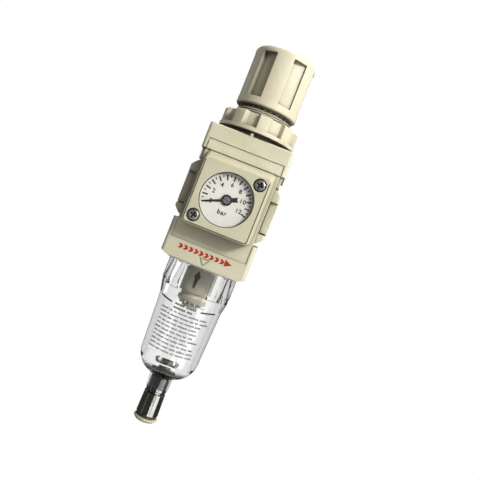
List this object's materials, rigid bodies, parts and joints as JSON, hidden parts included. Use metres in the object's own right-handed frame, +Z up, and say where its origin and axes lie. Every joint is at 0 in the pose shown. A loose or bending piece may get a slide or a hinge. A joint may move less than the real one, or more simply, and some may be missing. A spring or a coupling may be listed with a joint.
{
  "type": "filter regulator",
  "caption": "Compressed-air filter-regulator with square embedded gauge, clear bayonet filter bowl, push-lock adjusting knob, panel nut and push-up drain.",
  "frame": {"origin": "where the axis through both ports crosses the vertical axis of the knob and bowl", "axes": "+X from inlet to outlet, +Z up towards the knob, the gauge faces -Y"},
  "size_m": [0.04, 0.0427, 0.1717],
  "materials": {
    "cream_paint": "satin paint over die-cast body",
    "cream_plastic": "moulded, fine grain",
    "white_plastic": "moulded",
    "filter_media": "sintered, porous",
    "black_plastic": "moulded",
    "black_rubber": "moulded",
    "steel": "zinc plated",
    "chrome_screw": "bright plated",
    "dark_chrome": "black-nickel plated",
    "aluminium": "turned",
    "brass": "turned",
    "white_enamel": "printed",
    "black_enamel": "satin",
    "clear_bowl": "clear polycarbonate",
    "clear_window": "clear acrylic"
  },
  "bodies": {
    "base": {"body": "cream_paint", "front_cover": "cream_paint", "bonnet": "cream_plastic", "diaphragm": "black_rubber", "valve_guide": "white_plastic", "guide_seal": "black_rubber", "valve_spring": "steel", "deflector": "white_plastic", "filter_element": "filter_media", "baffle": "white_plastic", "element_rod": "white_plastic", "gauge_hood": "cream_plastic", "gauge_window": "clear_window", "gauge_case": "brass", "gauge_seal": "black_rubber", "dial_plate": "white_enamel", "dial_ring": "black_plastic", "bourdon_tube": "brass", "sector_pin": "brass", "gauge_screws": "chrome_screw", "rear_plug": "steel"},
    "nut": {"panel_nut": "cream_plastic"},
    "screw": {"adjusting_screw": "steel", "thrust_washer": "steel"},
    "knob": {"knob": "cream_plastic"},
    "seat": {"spring_seat": "steel"},
    "pan": {"spring_pan": "aluminium", "diaphragm_disc": "aluminium", "relief_rivet": "brass", "regulating_spring": "steel"},
    "valve": {"valve_stem": "brass", "valve_seal": "black_rubber"},
    "pointer": {"pointer": "black_enamel", "pinion_shaft": "brass"},
    "sector": {"sector_gear": "brass"},
    "link": {"gauge_link": "brass"},
    "bowl": {"bowl": "clear_bowl", "bowl_seal": "black_rubber", "drain_body": "dark_chrome", "drain_washer": "black_rubber", "drain_nut": "dark_chrome", "drain_spring": "steel"},
    "drain": {"drain_stem": "dark_chrome", "drain_seal": "black_rubber", "drain_button": "cream_plastic"}
  },
  "joints": [
    {"name": "screw_turn", "type": "hinge", "parent": "base", "child": "screw", "pos_m": [0, 0, 0.045], "axis": [0, 0, 1], "range_deg": [-1800, 0]},
    {"name": "knob_push", "type": "slide", "parent": "screw", "child": "knob", "axis": [0, 0, 1], "range_m": [-0.0014, 0]},
    {"name": "seat_travel", "type": "slide", "parent": "base", "child": "seat", "axis": [0, 0, 1], "range_m": [-0.00627, 0], "deforming": ["regulating_spring"]},
    {"name": "pan_travel", "type": "slide", "parent": "base", "child": "pan", "axis": [0, 0, 1], "range_m": [-0.0012, 0], "stiffness_N_per_m": 500, "deforming": ["diaphragm"]},
    {"name": "valve_lift", "type": "slide", "parent": "base", "child": "valve", "axis": [0, 0, 1], "range_m": [-0.0012, 0], "deforming": ["valve_spring"]},
    {"name": "nut_turn", "type": "hinge", "parent": "base", "child": "nut", "pos_m": [0, 0, 0.035], "axis": [0, 0, 1], "range_deg": [-180, 180]},
    {"name": "pointer_turn", "type": "hinge", "parent": "base", "child": "pointer", "pos_m": [0, -0.018, 0], "axis": [0, 1, 0], "range_deg": [0, 224], "deforming": ["bourdon_tube"]},
    {"name": "sector_turn", "type": "hinge", "parent": "base", "child": "sector", "pos_m": [0, -0.018, -0.00864], "axis": [0, 1, 0], "range_deg": [-28, 0]},
    {"name": "link_swing", "type": "hinge", "parent": "sector", "child": "link", "pos_m": [-0.00053, -0.0189, -0.01077], "axis": [0, 1, 0], "range_deg": [0, 28]},
    {"name": "bowl_turn", "type": "hinge", "parent": "base", "child": "bowl", "pos_m": [0, 0, -0.05], "axis": [0, 0, 1], "range_deg": [0, 45]},
    {"name": "drain_push", "type": "slide", "parent": "bowl", "child": "drain", "axis": [0, 0, 1], "range_m": [0, 0.001], "stiffness_N_per_m": 400, "deforming": ["drain_spring"]}
  ],
  "couplings": [
    {"joint": "seat_travel", "follows": "screw_turn", "m_per_rad": 0.00019894},
    {"joint": "valve_lift", "follows": "pan_travel", "ratio": 1},
    {"joint": "sector_turn", "follows": "pointer_turn", "ratio": -0.125},
    {"joint": "link_swing", "follows": "pointer_turn", "ratio": 0.125}
  ]
}
